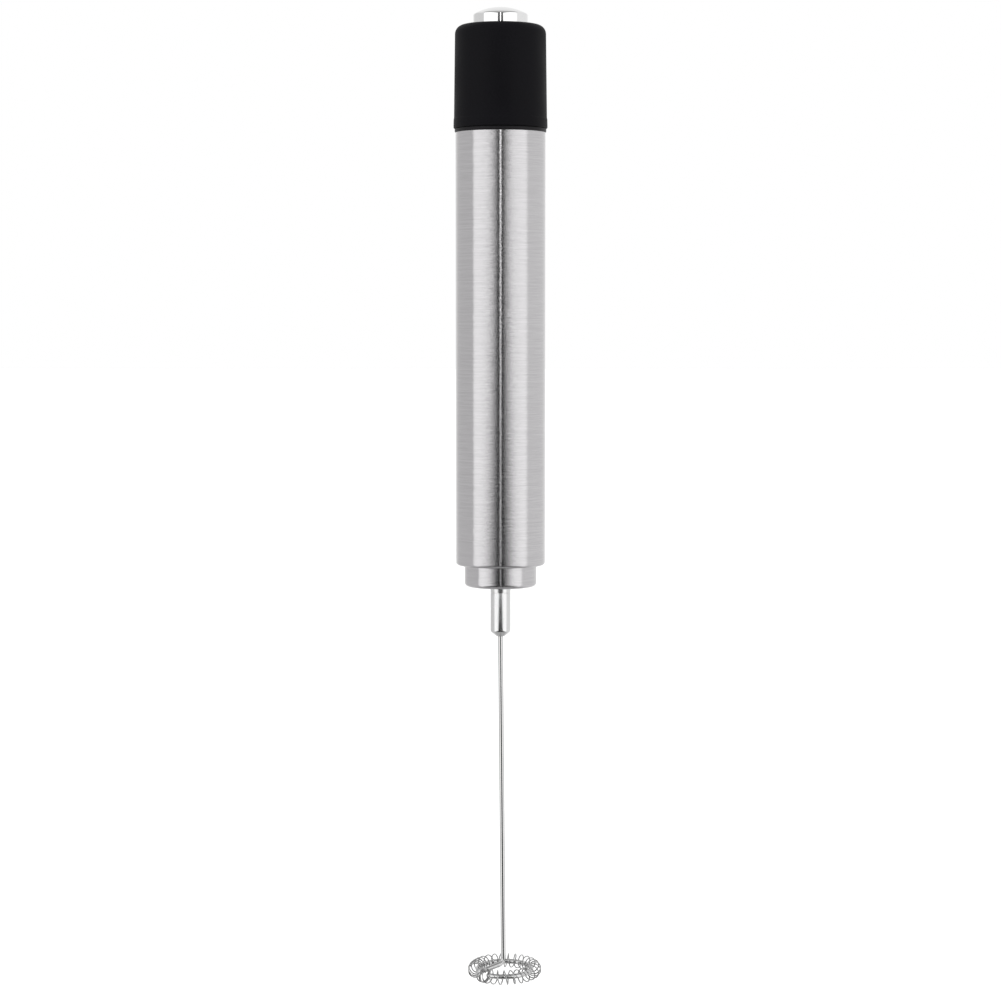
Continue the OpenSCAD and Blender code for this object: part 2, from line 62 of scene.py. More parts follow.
# ---- Building meshes ------------------------------------------------------------------

ROUND = 192                     # segments of a turned piece
WIDE_ROUND = 256                # segments of the tube and the cap
CHUCK_ROUND = 128
CELL_ROUND = 96
ON_AXIS = 1e-7                  # a radius in metres below which a point lies on the axis
SHARP_EDGE = math.radians(35)   # faces that meet at more than this have a sharp edge
END_RINGS = tuple(math.radians(degrees) for degrees in (80, 55, 28))    # of a wire's domed end
END_DEPTH = 0.6                 # the dome's height as a share of the wire's radius


def add_piece(name, shape, body, material, node):
    """A piece of the given vertices and faces, which rides on a body and stands for a CAD node."""
    verts, faces = shape
    mesh = bpy.data.meshes.new(name)
    mesh.from_pydata(verts, [], faces)
    mesh.validate()
    mesh.polygons.foreach_set("use_smooth", [True] * len(mesh.polygons))
    mesh.set_sharp_from_angle(angle=SHARP_EDGE)
    piece = bpy.data.objects.new(name, mesh)
    bpy.context.scene.collection.objects.link(piece)
    mesh.materials.append(material)
    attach(piece, body)
    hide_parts(node)
    return piece


def size_of(node):
    """Outer radius, bottom and top of a round CAD node, in millimetres."""
    low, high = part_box(node)
    return high.x / MM, low.z / MM, high.z / MM


def outline(*corners, steps=6):
    """Half section in metres from corners in millimetres.

    A corner is (r, z), or (r, z, radius) to round it in a number of steps.
    """
    points = []
    for i, corner in enumerate(corners):
        here = Vector(corner[:2])
        if len(corner) == 2:
            points.append(here)
            continue
        before = (Vector(corners[i - 1][:2]) - here).normalized()
        after = (Vector(corners[(i + 1) % len(corners)][:2]) - here).normalized()
        half = before.angle(after) / 2
        middle = here + (before + after).normalized() * corner[2] / math.sin(half)
        start = here + before * corner[2] / math.tan(half) - middle
        end = here + after * corner[2] / math.tan(half) - middle
        turn = math.pi - 2 * half
        for k in range(steps + 1):
            a = turn * k / steps
            points.append(middle + (start * math.sin(turn - a) + end * math.sin(a)) / math.sin(turn))
    return [(p.x * MM, p.y * MM) for p in points]


def turned(section, closed=True, segments=ROUND):
    """Vertices and faces of a half section turned about Z. A point on the axis is one vertex."""
    verts, rings = [], []
    for r, z in section:
        if r < ON_AXIS:
            rings.append([len(verts)] * segments)
            verts.append((0, 0, z))
            continue
        rings.append(list(range(len(verts), len(verts) + segments)))
        verts += [(r * math.cos(math.tau * k / segments), r * math.sin(math.tau * k / segments), z)
                  for k in range(segments)]
    faces = []
    count = len(rings) if closed else len(rings) - 1
    for i in range(count):
        a, b = rings[i], rings[(i + 1) % len(rings)]
        for k in range(segments):
            m = (k + 1) % segments
            loop = list(dict.fromkeys((a[k], a[m], b[m], b[k])))
            if len(loop) > 2:
                faces.append(loop)
    return verts, faces


def swept(path, radius, sides):
    """Vertices and faces of a round wire along a path, its ends closed by small domes."""
    last = len(path) - 1
    heads = [(path[min(i + 1, last)] - path[max(i - 1, 0)]).normalized() for i in range(last + 1)]
    side = heads[0].orthogonal().normalized()
    verts = []

    def put(centre, r, head):
        for k in range(sides):
            a = math.tau * k / sides
            verts.append(centre + r * (math.cos(a) * side + math.sin(a) * head.cross(side)))

    for a in END_RINGS:
        put(path[0] - heads[0] * radius * END_DEPTH * math.sin(a), radius * math.cos(a), heads[0])
    for point, head in zip(path, heads):
        side = (side - side.dot(head) * head).normalized()
        put(point, radius, head)
    for a in reversed(END_RINGS):
        put(path[-1] + heads[-1] * radius * END_DEPTH * math.sin(a), radius * math.cos(a), heads[-1])

    faces = []
    rings = len(verts) // sides
    for i in range(rings - 1):
        for k in range(sides):
            m = (k + 1) % sides
            faces.append((i * sides + k, i * sides + m, (i + 1) * sides + m, (i + 1) * sides + k))
    faces.append(tuple(range(sides - 1, -1, -1)))
    faces.append(tuple((rings - 1) * sides + k for k in range(sides)))
    return verts, faces


# ---- Node trees -----------------------------------------------------------------------

NOISE_LOW, NOISE_HIGH = 0.3, 0.7    # nearly all of a noise's values lie between these
QUARTER_TURN = 0.25                 # lays the stretched highlight along the axis
WAVE_RATE = 20                      # radians per metre of a wave texture whose scale is 1


class Nodes:
    """A node tree, with short ways to add and join its nodes."""

    def __init__(self, tree):
        self.tree = tree

    def add(self, kind, **settings):
        node = self.tree.nodes.new(kind)
        for name, value in settings.items():
            setattr(node, name, value)
        return node

    def join(self, source, socket):
        """Feeds a socket from an output, or sets it if source is a number."""
        if isinstance(source, (int, float)):
            socket.default_value = source
        else:
            self.tree.links.new(source, socket)

    def calc(self, operation, *sources):
        node = self.add("ShaderNodeMath", operation=operation)
        for source, socket in zip(sources, node.inputs):
            self.join(source, socket)
        return node.outputs["Value"]

    def step(self, source, start, end, low=0.0, high=1.0):
        """Goes smoothly from low to high while source goes from start to end."""
        node = self.add("ShaderNodeMapRange", interpolation_type="SMOOTHSTEP")
        self.join(source, node.inputs["Value"])
        for name, value in (("From Min", start), ("From Max", end), ("To Min", low), ("To Max", high)):
            self.join(value, node.inputs[name])
        return node.outputs["Result"]

    def mix(self, share, a, b):
        """Goes from a to b while share goes from 0 to 1."""
        node = self.add("ShaderNodeMix")
        self.join(share, node.inputs["Factor"])
        self.join(a, node.inputs["A"])
        self.join(b, node.inputs["B"])
        return node.outputs["Result"]


class Surface(Nodes):
    """A Principled material whose uneven values come from noise in the piece's own coordinates."""

    def __init__(self, name, roughness, metallic=0.0, **values):
        self.material = bpy.data.materials.new(name)
        self.material.use_nodes = True
        super().__init__(self.material.node_tree)
        self.shader = self.tree.nodes["Principled BSDF"]
        self.shader.inputs["Roughness"].default_value = roughness
        self.shader.inputs["Metallic"].default_value = metallic
        for socket, value in values.items():
            self.shader.inputs[socket.replace("_", " ")].default_value = value
        self.place = self.add("ShaderNodeTexCoord").outputs["Object"]
        self.normal = None

    def noise(self, scale, detail=3.0, rough=0.5):
        """Noise whose cells measure 1/scale metres, or 1/scale along each axis."""
        stretch = self.add("ShaderNodeMapping")
        stretch.inputs["Scale"].default_value = scale if isinstance(scale, tuple) else (scale,) * 3
        self.join(self.place, stretch.inputs["Vector"])
        noise = self.add("ShaderNodeTexNoise")
        noise.inputs["Scale"].default_value = 1.0
        noise.inputs["Detail"].default_value = detail
        noise.inputs["Roughness"].default_value = rough
        self.join(stretch.outputs["Vector"], noise.inputs["Vector"])
        return noise.outputs["Fac"]

    def bands(self, per_metre):
        """Even bands up the Z axis, such as sheets in a stack or turns of wire."""
        wave = self.add("ShaderNodeTexWave", bands_direction="Z")
        wave.inputs["Scale"].default_value = per_metre / WAVE_RATE * math.tau
        self.join(self.place, wave.inputs["Vector"])
        return wave.outputs["Fac"]

    def height(self):
        """How far up the object a point is, in metres."""
        split = self.add("ShaderNodeSeparateXYZ")
        self.join(self.place, split.inputs["Vector"])
        return split.outputs["Z"]

    def between(self, source, low, high, start=NOISE_LOW, end=NOISE_HIGH):
        """Maps source from start..end to low..high."""
        node = self.add("ShaderNodeMapRange")
        for name, value in (("From Min", start), ("From Max", end), ("To Min", low), ("To Max", high)):
            node.inputs[name].default_value = value
        self.join(source, node.inputs["Value"])
        return node.outputs["Result"]

    def tint(self, source, *stops):
        """Base colour from a ramp over source. A stop is a place and a colour or a grey."""
        ramp = self.add("ShaderNodeValToRGB")
        line = ramp.color_ramp
        while len(line.elements) < len(stops):
            line.elements.new(0.5)
        for element, (place, colour) in zip(line.elements, stops):
            element.position = place
            element.color = (*colour, 1) if isinstance(colour, tuple) else (colour, colour, colour, 1)
        self.join(source, ramp.inputs["Fac"])
        self.join(ramp.outputs["Color"], self.shader.inputs["Base Color"])
        return self

    def vary_roughness(self, source, low, high):
        self.join(self.between(source, low, high), self.shader.inputs["Roughness"])
        return self

    def relief(self, source, depth):
        """Adds surface relief, depth in metres, on top of any relief already there."""
        bump = self.add("ShaderNodeBump")
        bump.inputs["Distance"].default_value = depth
        self.join(source, bump.inputs["Height"])
        if self.normal is not None:
            self.join(self.normal, bump.inputs["Normal"])
        self.normal = bump.outputs["Normal"]
        self.join(self.normal, self.shader.inputs["Normal"])
        return self

    def brushed_round(self):
        """Highlights stretched along Z, as on metal brushed round its axis."""
        self.shader.inputs["Anisotropic"].default_value = 1.0
        self.shader.inputs["Anisotropic Rotation"].default_value = QUARTER_TURN
        tangent = self.add("ShaderNodeTangent", direction_type="RADIAL", axis="Z")
        self.join(tangent.outputs["Tangent"], self.shader.inputs["Tangent"])
        return self


# ---- Materials ------------------------------------------------------------------------

STEEL_GREEN = 0.982             # brushed steel's green, where its red and blue are 1
WAVER_DEPTH = 0.03 * MM
WIRE_MARK_DEPTH = 0.0012 * MM
TURNING_DEPTH = 0.0006 * MM
GRAIN_DEPTH = 0.006 * MM        # of moulded plastic
TARNISH_DEPTH = 0.004 * MM
WRINKLE_DEPTH = 0.01 * MM       # of a cell's sleeve
SLEEVE_BLUE = (0.02, 0.09, 0.2)
SLEEVE_BAND = (0.5, 0.53, 0.56)
BAND_LOW, BAND_HIGH, BAND_EDGE = 0.81, 0.87, 0.005      # shares of the sleeve's height


def brushed_steel(name, tone, roughness, streak, depth):
    """Steel brushed round the Z axis. streak is the grain's height in metres."""
    steel = Surface(name, roughness, metallic=1.0)
    grain = steel.noise((90, 90, 1 / streak), detail=2, rough=0.7)
    scratches = steel.noise((700, 700, 0.8 / streak), detail=1)
    waver = steel.noise((420, 420, 1300), detail=2)
    dark, light = tone * 0.93, tone * 1.05
    steel.tint(grain, (NOISE_LOW, (dark, dark * STEEL_GREEN, dark)),
               (NOISE_HIGH, (light, light * STEEL_GREEN, light)))
    steel.vary_roughness(scratches, roughness * 0.87, roughness * 1.13)
    steel.relief(scratches, depth)
    steel.relief(waver, WAVER_DEPTH)
    return steel.brushed_round().material


def polished(name, tone, roughness, turning=False):
    """Polished or plated metal, with faint turning marks if turning is set."""
    metal = Surface(name, roughness, metallic=1.0)
    film = metal.noise(140)
    metal.tint(film, (NOISE_LOW, tone * 0.985), (NOISE_HIGH, tone))
    metal.vary_roughness(film, roughness * 0.8, roughness * 1.3)
    if turning:
        metal.relief(metal.noise((30, 30, 5200), detail=2), TURNING_DEPTH)
    return metal.material


def drawn_wire(name, tone, roughness):
    """Wire with the faint lengthwise unevenness of drawing and handling marks."""
    wire = Surface(name, roughness, metallic=1.0)
    marks = wire.noise((900, 900, 260))
    wire.tint(marks, (NOISE_LOW, tone * 0.93), (0.65, tone))
    wire.vary_roughness(marks, roughness * 0.75, roughness * 1.4)
    return wire.relief(marks, WIRE_MARK_DEPTH).material


def moulding(name, colour, roughness, texture=3200, depth=GRAIN_DEPTH, **values):
    """Moulded plastic or rubber: fine texture in the surface and slightly uneven gloss."""
    plastic = Surface(name, roughness, **values)
    spark = plastic.noise(texture, detail=2)
    cloud = plastic.noise(90)
    darker = tuple(c * 0.82 for c in colour)
    lighter = tuple(min(1.0, c * 1.12) for c in colour)
    plastic.tint(cloud, (NOISE_LOW, darker), (NOISE_HIGH, lighter))
    plastic.vary_roughness(cloud, roughness * 0.88, min(1.0, roughness * 1.12))
    return plastic.relief(spark, depth).material


def rolled_metal(name, dark, light, roughness, scale=600):
    """Sheet or turned metal with light tarnish in patches."""
    metal = Surface(name, roughness, metallic=1.0)
    tarnish = metal.noise(scale, detail=4, rough=0.6)
    metal.tint(tarnish, (0.28, dark), (0.62, light))
    metal.vary_roughness(tarnish, roughness * 0.8, roughness * 1.3)
    return metal.relief(metal.noise(scale * 6, detail=2), TARNISH_DEPTH).material


def layered(name, dark, light, roughness, per_metre, depth):
    """Metal in even layers: a stack of sheets, or wire wound side by side."""
    metal = Surface(name, roughness, metallic=1.0)
    layers = metal.bands(per_metre)
    metal.tint(layers, (0.1, dark), (0.75, light))
    return metal.relief(layers, depth).material


def cell_sleeve(name, low, high):
    """Plastic sleeve of a cell: one plain colour with a pale band near its upper end."""
    sleeve = Surface(name, 0.28, Specular_IOR_Level=0.6)
    share = sleeve.between(sleeve.height(), 0.0, 1.0, low, high)
    sleeve.tint(share, (0.0, SLEEVE_BLUE), (BAND_LOW - BAND_EDGE, SLEEVE_BLUE), (BAND_LOW, SLEEVE_BAND),
                (BAND_HIGH, SLEEVE_BAND), (BAND_HIGH + BAND_EDGE, SLEEVE_BLUE))
    sleeve.vary_roughness(sleeve.noise(220), 0.22, 0.34)
    return sleeve.relief(sleeve.noise(900), WRINKLE_DEPTH).material


# Materials by name. Those named as a slot of the record also dress its carried-over CAD nodes.
MAT = {
    "tube_steel": brushed_steel("tube_steel", 0.63, 0.23, 0.2 * MM, 0.013 * MM),
    "nose_steel": brushed_steel("nose_steel", 0.63, 0.2, 0.16 * MM, 0.006 * MM),
    "bright_chrome": polished("bright_chrome", 0.92, 0.06),
    "turned_chrome": polished("turned_chrome", 0.8, 0.25, turning=True),
    "whisk_steel": drawn_wire("whisk_steel", 0.68, 0.08),
    "coil_steel": drawn_wire("coil_steel", 0.52, 0.06),
    "spring_steel": drawn_wire("spring_steel", 0.62, 0.2),
    "cap_plastic": moulding("cap_plastic", (0.0042, 0.0040, 0.0054), 0.55, Specular_IOR_Level=0.08),
    "black_rubber": moulding("black_rubber", (0.0075, 0.0068, 0.0082), 0.5, 2200, 0.01 * MM,
                             Specular_IOR_Level=0.2),
    "carrier_plastic": moulding("carrier_plastic", (0.02, 0.02, 0.022), 0.4, 2600),
    "mount_plastic": moulding("mount_plastic", (0.07, 0.075, 0.08), 0.5, 2600),
    "base_plastic": moulding("base_plastic", (0.05, 0.09, 0.04), 0.5, 2600),
    "white_nylon": moulding("white_nylon", (0.72, 0.72, 0.67), 0.45, 2000, Subsurface_Weight=0.1),
    "motor_steel": rolled_metal("motor_steel", (0.45, 0.46, 0.47), (0.62, 0.63, 0.65), 0.3, 300),
    "ferrite": moulding("ferrite", (0.06, 0.06, 0.065), 0.6, 5000, 0.02 * MM),
    "sintered_bronze": rolled_metal("sintered_bronze", (0.25, 0.13, 0.06), (0.5, 0.32, 0.17), 0.45, 2500),
    "contact_brass": rolled_metal("contact_brass", (0.55, 0.36, 0.14), (0.8, 0.62, 0.32), 0.25),
    "copper": rolled_metal("copper", (0.6, 0.25, 0.14), (0.85, 0.45, 0.3), 0.25),
    "enamelled_copper": layered("enamelled_copper", (0.16, 0.03, 0.01), (0.62, 0.2, 0.07), 0.3,
                                4500, 0.08 * MM),
    "core_iron": layered("core_iron", (0.06, 0.06, 0.065), (0.28, 0.28, 0.3), 0.4, 2000, 0.03 * MM),
    "bright_shaft": polished("bright_shaft", 0.8, 0.12, turning=True),
    "cell_end": rolled_metal("cell_end", (0.6, 0.6, 0.6), (0.74, 0.74, 0.74), 0.2, 900),
}


def dress_cad_nodes():
    """Gives each carried-over CAD node the material of its slot. Only the cells' slot has none."""
    for part in frame["record"]["subparts"]:
        material = MAT.get(part["material_slot"])
        if material is None:
            continue
        node = frame["nodes"][part["node"]]
        node.data.materials.clear()
        node.data.materials.append(material)


# ---- Handle ---------------------------------------------------------------------------

TUBE_WALL = 0.6
TUBE_ROLL = 0.8                 # rounding of the tube's rolled lower edge
TUBE_MOUTH = 0.12               # rounding of its upper edges
COLLAR_R = 9.7
COLLAR_WALL = 0.5
COLLAR_BORE = 3.1
COLLAR_DRAW = 1.1               # rounding of the collar's lower edge
COLLAR_PLAY = 0.1               # between the collar and the tube's rolled edge
RING_BORE = 10.2
RING_STEPS = 20                 # points round the O-ring's section
NUB = 1.0                       # height of the nub at a cell's lower end
NUB_R = 2.75
CAN_STEP = 0.3                  # height of the step in the can's lower end
STEP_INNER, STEP_OUTER = 5.2, 5.4
CAN_RISE = 0.2                  # height by which the middle of its upper end is raised
RISE_INNER, RISE_OUTER = 5.6, 6.0
SLEEVE_SKIN = 0.12
SLEEVE_LAP = 1.0


def handle_tube():
    radius, lip, top = size_of("handle_tube")
    inner, gap, fold = radius - TUBE_WALL, COLLAR_R + COLLAR_PLAY, lip + TUBE_WALL
    section = outline(
        (radius, top, TUBE_MOUTH), (radius, lip, TUBE_ROLL), (gap, lip, 0.08),
        (gap, fold, 0.08), (inner, fold, 0.2), (inner, top, TUBE_MOUTH), steps=10,
    )
    add_piece("steel_tube", turned(section, segments=WIDE_ROUND), "handle",
              MAT["tube_steel"], "handle_tube")


def nose_collar():
    flange, low, high = size_of("nose_collar")
    inner, face, ledge = COLLAR_R - COLLAR_WALL, low + COLLAR_WALL, high - COLLAR_WALL
    section = outline(
        (COLLAR_BORE, low, 0.15), (COLLAR_R, low, COLLAR_DRAW), (COLLAR_R, ledge, 0.04),
        (flange, ledge, 0.04), (flange, high, 0.1), (inner, high, 0.1),
        (inner, face, 0.6), (COLLAR_BORE, face, 0.15), steps=10,
    )
    add_piece("steel_nose", turned(section), "handle", MAT["nose_steel"], "nose_collar")


def seal_ring():
    outer, bottom, top = size_of("seal_ring")
    section = outline((RING_BORE, bottom), (outer, bottom, 0.25), (outer, top, 0.25), (RING_BORE, top))
    add_piece("rubber_ring", turned(section), "handle", MAT["black_rubber"], "seal_ring")


def o_ring():
    low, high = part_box("carrier_o_ring")
    r, middle = (high.z - low.z) / 2, (high.z + low.z) / 2
    angles = [math.tau * k / RING_STEPS for k in range(RING_STEPS)]
    section = [(high.x - r + r * math.cos(a), middle + r * math.sin(a)) for a in angles]
    add_piece("neck_o_ring", turned(section), "handle", MAT["black_rubber"],
              "carrier_o_ring")


def cell(node):
    """A cell as a metal can with a nub below and a shrunk sleeve whose edges lap over its ends."""
    r, bottom, top = size_of(node)
    foot, shoulder = bottom + NUB, top - CAN_RISE
    core, lap = r - SLEEVE_SKIN, r - SLEEVE_LAP
    can = outline(
        (0, bottom), (NUB_R, bottom, 0.3), (NUB_R, foot, 0.2), (STEP_INNER, foot, 0.3),
        (STEP_OUTER, foot + CAN_STEP, 0.2), (core, foot + CAN_STEP, 0.5), (core, shoulder, 0.4),
        (RISE_OUTER, shoulder, 0.3), (RISE_INNER, top, 0.2), (0, top),
    )
    sleeve = outline(
        (lap, foot, 0.05), (r, foot, 0.5), (r, top, 0.5), (lap, top, 0.05),
        (lap, top - SLEEVE_SKIN, 0.05), (core, top - SLEEVE_SKIN, 0.35),
        (core, foot + SLEEVE_SKIN, 0.35), (lap, foot + SLEEVE_SKIN, 0.05),
    )
    wrap = cell_sleeve(node + "_sleeve", foot * MM, top * MM)
    add_piece(node + "_can", turned(can, closed=False, segments=CELL_ROUND), "handle",
              MAT["cell_end"], node)
    add_piece(node + "_sleeve", turned(sleeve, segments=CELL_ROUND), "handle", wrap, node)


# ---- Cap and button -------------------------------------------------------------------

CAP_RIM = 2.8                   # height of the cap's flared rim
RIM_PROUD = 0.15                # how far the rim stands out from the side
RIM_SLOPE = 0.45                # height of the slope at its top
RIM_DRAFT = 0.04                # how much smaller its radius is below that slope than at its foot
CAP_TAPER = 0.45                # how much smaller the cap's radius is at its top than at its rim
CAP_SHOULDER = 2.4              # rounding of its upper edge
CAP_ROOF = 2.0
CAP_STEP, CAP_SHELF = 16.6, 21.6    # heights at which the cap's bore gets narrower
NECK_BORE, BASE_BORE, SWITCH_BORE = 10.6, 9.85, 9.0
BUTTON_R = 7.25
BUTTON_PLAY = 0.08
BUTTON_DOME = 1.9
BUTTON_FILLET = 0.6
BUTTON_FLANGE = 1.05
BUTTON_HOLLOW_R = 6.0
BUTTON_ROOF = 1.8               # thickness at the dome's edge
DOME_STEPS = 30
SPRING_TURNS = 3.5
SPRING_STEPS = 40               # points to a turn
FLAT_TURN = 0.5                 # turns at each end of a spring that lie flat
CELL_SPRING_WIRE = 0.7
BUTTON_SPRING_WIRE = 0.3


def battery_cap():
    radius, bottom, top = size_of("battery_cap")
    skirt, top_r, hole = radius - RIM_PROUD, radius - CAP_TAPER, BUTTON_R + BUTTON_PLAY
    rim, step, shelf, roof = bottom + CAP_RIM, bottom + CAP_STEP, bottom + CAP_SHELF, top - CAP_ROOF
    section = outline(
        (radius, bottom, 0.3), (radius - RIM_DRAFT, rim - RIM_SLOPE, 0.3), (skirt, rim, 0.5),
        (top_r, top, CAP_SHOULDER), (hole, top, 0.2), (hole, roof, 0.1), (SWITCH_BORE, roof, 0.2),
        (SWITCH_BORE, shelf, 0.1), (BASE_BORE, shelf, 0.1), (BASE_BORE, step, 0.1),
        (NECK_BORE, step, 0.2), (NECK_BORE, bottom, 0.3), steps=10,
    )
    add_piece("black_cap", turned(section, segments=WIDE_ROUND), "cap",
              MAT["cap_plastic"], "battery_cap")


def push_button():
    flange_r, bottom, top = size_of("push_button")
    edge, flange, ceiling = top - BUTTON_DOME, bottom + BUTTON_FLANGE, top - BUTTON_DOME - BUTTON_ROOF
    dome_r = (BUTTON_R ** 2 + BUTTON_DOME ** 2) / (2 * BUTTON_DOME)
    reach = math.asin((BUTTON_R - 1.6 * BUTTON_FILLET) / dome_r)
    angles = [reach * k / DOME_STEPS for k in range(DOME_STEPS + 1)]
    dome = [(dome_r * math.sin(a), top - dome_r + dome_r * math.cos(a)) for a in angles]
    section = outline(
        *dome, (BUTTON_R, edge + 0.03, BUTTON_FILLET), (BUTTON_R, flange, 0.1), (flange_r, flange, 0.15),
        (flange_r, bottom, 0.15), (BUTTON_HOLLOW_R, bottom, 0.15), (BUTTON_HOLLOW_R, ceiling),
        (0, ceiling), steps=8,
    )
    add_piece("chrome_button", turned(section, closed=False), "button",
              MAT["bright_chrome"], "push_button")


def spring(name, node, wire):
    """A helical spring in the cap, whose end turns lie flat. wire is its thickness in metres."""
    low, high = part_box(node)
    radius, r = high.x - wire / 2, wire / 2
    path = []
    for i in range(int(SPRING_TURNS * SPRING_STEPS) + 1):
        turn = i / SPRING_STEPS
        share = min(1.0, max(0.0, (turn - FLAT_TURN) / (SPRING_TURNS - 2 * FLAT_TURN)))
        rise = share * share * (3 - 2 * share)
        angle = math.tau * turn
        path.append(Vector((radius * math.cos(angle), radius * math.sin(angle),
                            low.z + r + (high.z - low.z - wire) * rise)))
    return add_piece(name, swept(path, r, 12), "cap", MAT["spring_steel"], node)


def springs():
    spring("cell_spring", "battery_spring", CELL_SPRING_WIRE * MM)
    lifter = spring("button_spring", "return_spring", BUTTON_SPRING_WIRE * MM)
    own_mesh(lifter)


# ---- Chuck and whisk ------------------------------------------------------------------

CHUCK_R, CHUCK_TIP, CHUCK_TOP = size_of("chuck")
CHUCK_TIP_R = 1.15
CHUCK_CONE = 1.3                # height of the cone at its tip
GROOVE_DROP = 1.7               # how far the chuck's groove lies under the collar
GROOVE_DEPTH = 0.12             # and half its height
CHUCK_HOLE = 1.2                # depth of the hole seen round the wire
WIRE_D = 1.35
WIRE_PLAY = 0.02
WIRE_GRIP = 7                   # length of wire inside the chuck
WIRE_LEN = 89.8
HOOP_DROP = 1.7
HOOP_R = 7.25
HOOP_SHIFT = 0.3
HOOP_TILT = math.radians(2.5)
WHISK_LEAN = math.radians(0.5)
ARM_TURN = -157                 # directions round the hoop are in degrees
RUN_IN = 1.3
HOOP_START = ARM_TURN - 10.5
HOOP_END = ARM_TURN + 29 - 360
HOOP_STEPS = 160
ELBOW_R = 1.8
BEND_STEPS = 16
COIL_D = 4.1
COIL_INSET = 0.04               # keeps the finer coil inside the CAD model's box
COIL_OFFSET = 0.8               # the coil's centre runs this far outside the hoop's
COIL_WIRE_D = 0.33
COIL_TURNS = 29
COIL_STEPS = 28                 # points to a turn
COIL_GAP = 10.5                 # degrees on each side of the arm that the coil leaves free
LEAD_TURNS = 0.8                # open turns before the close ones
CLOSE_TURNS = 2.5
CLOSE_PITCH = 2.6               # pitches are in degrees to a turn
TAIL_TURNS = 6                  # last turns, a little closer than the open ones
TAIL_PITCH = 10.2
OPEN_PITCH = ((360 - 2 * COIL_GAP - CLOSE_TURNS * CLOSE_PITCH - TAIL_TURNS * TAIL_PITCH)
              / (COIL_TURNS - CLOSE_TURNS - TAIL_TURNS))
TILT = Matrix.Rotation(HOOP_TILT, 3, "X")
ELBOW = Vector((0, 0, -WIRE_LEN))
HOOP_CENTRE = Vector((HOOP_SHIFT, 0, -WIRE_LEN - HOOP_DROP))


def chuck():
    _, collar_bottom, _ = size_of("nose_collar")
    groove = collar_bottom - GROOVE_DROP
    upper, lower, floor_r = groove + GROOVE_DEPTH, groove - GROOVE_DEPTH, CHUCK_R - GROOVE_DEPTH
    cone, hole, wire = CHUCK_TIP + CHUCK_CONE, CHUCK_TIP + CHUCK_HOLE, WIRE_D / 2 + WIRE_PLAY
    section = outline(
        (0, CHUCK_TOP), (CHUCK_R, CHUCK_TOP, 0.2), (CHUCK_R, upper, 0.03), (floor_r, upper),
        (floor_r, lower), (CHUCK_R, lower, 0.03), (CHUCK_R, cone, 0.9), (CHUCK_TIP_R, CHUCK_TIP, 0.25),
        (wire, CHUCK_TIP, 0.06), (wire, hole), (0, hole), steps=8,
    )
    add_piece("chrome_chuck", turned(section, closed=False, segments=CHUCK_ROUND), "spindle",
              MAT["turned_chrome"], "chuck")


def bend(corner, a, b, radius):
    """Round bend at a corner from heading a to heading b."""
    turn = a.angle(b)
    inward = (b - a.dot(b) * a).normalized()
    centre = corner - radius * math.tan(turn / 2) * a + radius * inward
    angles = [turn * k / BEND_STEPS for k in range(BEND_STEPS + 1)]
    return [centre + radius * (math.sin(angle) * a - math.cos(angle) * inward) for angle in angles]


def on_hoop(degrees):
    a = math.radians(degrees)
    return HOOP_CENTRE + TILT @ Vector((HOOP_R * math.cos(a), HOOP_R * math.sin(a), 0))


def along_hoop(degrees):
    """Heading of the hoop where it is followed clockwise."""
    a = math.radians(degrees)
    return TILT @ Vector((math.sin(a), -math.cos(a), 0))


def from_chuck(points):
    """Moves points of the whisk's own frame, in millimetres, to their place under the chuck."""
    place = Matrix.Translation((0, 0, CHUCK_TIP)) @ Matrix.Rotation(-WHISK_LEAN, 4, "Y")
    return [(place @ p) * MM for p in points]


def whisk_wire():
    along = along_hoop(HOOP_START)
    corner = on_hoop(HOOP_START) - RUN_IN * along
    down, arm = Vector((0, 0, -1)), (corner - ELBOW).normalized()
    path = [Vector((0, 0, WIRE_GRIP - k / 2)) for k in range(2 * WIRE_GRIP)]
    path += [Vector((0, 0, -z)) for z in range(1, int(WIRE_LEN) - 2, 4)]
    path += bend(ELBOW, down, arm, ELBOW_R)
    path += bend(corner, arm, along, RUN_IN / math.tan(arm.angle(along) / 2))
    sweep = HOOP_END - HOOP_START
    path += [on_hoop(HOOP_START + sweep * k / HOOP_STEPS) for k in range(1, HOOP_STEPS + 1)]
    add_piece("whisk_rod", swept(from_chuck(path), WIRE_D / 2 * MM, 28), "spindle",
              MAT["whisk_steel"], "whisk_wire")


def on_coil(turn):
    """Point on the coil after a number of turns from its end beside the arm."""
    close = max(0.0, min(turn - LEAD_TURNS, CLOSE_TURNS))
    tail = max(0.0, turn - COIL_TURNS + TAIL_TURNS)
    wound = (turn - close - tail) * OPEN_PITCH + close * CLOSE_PITCH + tail * TAIL_PITCH
    a = math.radians(ARM_TURN + COIL_GAP + wound)
    radius = (COIL_D - COIL_WIRE_D) / 2 - COIL_INSET
    r = HOOP_R + COIL_OFFSET - radius * math.cos(math.tau * turn)
    rise = radius * math.sin(math.tau * turn)
    return HOOP_CENTRE + TILT @ Vector((r * math.cos(a), r * math.sin(a), rise))


def whisk_coil():
    path = [on_coil(i / COIL_STEPS) for i in range(COIL_TURNS * COIL_STEPS + 1)]
    add_piece("whisk_spring", swept(from_chuck(path), COIL_WIRE_D / 2 * MM, 10), "spindle",
              MAT["coil_steel"], "whisk_coil")


# ---- Studio ---------------------------------------------------------------------------

CAMERA_BACK = 0.69              # places are in metres and angles in degrees
CAMERA_UP = 0.066
CAMERA_DOWN_TILT = 4.10
CAMERA_LENS = 92.3              # the lens and the sensor are in millimetres
CAMERA_SENSOR = 36
CAMERA_NEAR, CAMERA_FAR = 0.01, 100
FLOOR_Z = -0.36
FLOOR_REACH = 20
SUN_POWER = 2.3
SUN_SPREAD = 60
SUN_LEAN = (12, -8)


